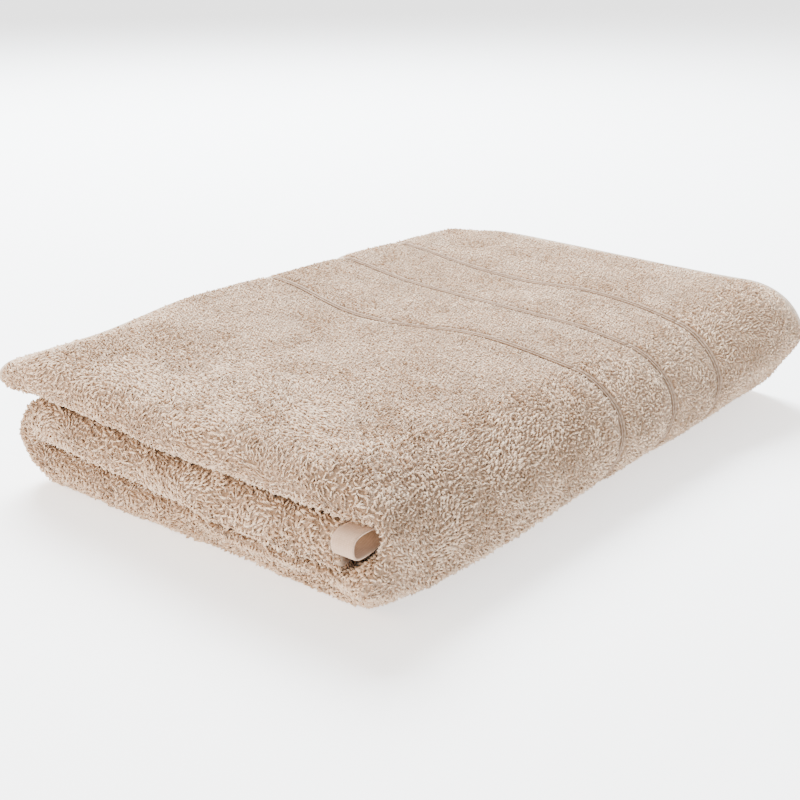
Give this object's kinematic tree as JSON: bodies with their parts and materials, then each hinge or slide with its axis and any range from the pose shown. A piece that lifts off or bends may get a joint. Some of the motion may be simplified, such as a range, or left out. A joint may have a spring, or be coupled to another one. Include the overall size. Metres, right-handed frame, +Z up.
{
  "type": "bath towel",
  "caption": "Terry bath towel folded in half twice and then in thirds, with corded borders, sewn hems and a tape hanging loop; the top panel opens on its fold.",
  "frame": {"origin": "bottom centre of the folded towel's box, hanging loop included, on the surface it lies on", "axes": "+Z up; +Y from the front edge, where the three panels show, to the back edge, where the ends of the cloth lie; +X towards the closed right fold"},
  "size_m": [0.2438, 0.361, 0.069],
  "materials": {
    "terry": "cotton terry pile, matt",
    "hem_cloth": "plain woven cotton, matt",
    "border_cord": "corded woven rib, low sheen",
    "loop_tape": "smooth woven tape, low sheen"
  },
  "bodies": {
    "stack": {"bottom_panel": "terry", "left_fold": "terry", "middle_panel": "terry", "right_fold_lower": "terry", "inner_side_hem": "hem_cloth", "outer_end_hem_stack": "hem_cloth", "inner_end_hem_stack": "hem_cloth", "outer_border_cord_1_stack": "border_cord", "outer_border_cord_2_stack": "border_cord", "outer_border_cord_3_stack": "border_cord", "inner_border_cord_1_stack": "border_cord", "inner_border_cord_2_stack": "border_cord", "inner_border_cord_3_stack": "border_cord"},
    "flap": {"top_panel": "terry", "right_fold_upper": "terry", "flap_side_hem": "hem_cloth", "outer_end_hem_flap": "hem_cloth", "inner_end_hem_flap": "hem_cloth", "outer_border_cord_1_flap": "border_cord", "outer_border_cord_2_flap": "border_cord", "outer_border_cord_3_flap": "border_cord", "inner_border_cord_1_flap": "border_cord", "inner_border_cord_2_flap": "border_cord", "inner_border_cord_3_flap": "border_cord"},
    "loop": {"hanging_loop": "loop_tape"}
  },
  "joints": [
    {"name": "flap_fold", "type": "hinge", "parent": "stack", "child": "flap", "pos_m": [0.1222, 0, 0.0345], "axis": [0, 1, 0], "range_deg": [0, 180]},
    {"name": "loop_swing", "type": "hinge", "parent": "stack", "child": "loop", "pos_m": [0.08291, -0.16668, 0.04635], "axis": [-1, 0, 0], "range_deg": [0, 35]}
  ]
}
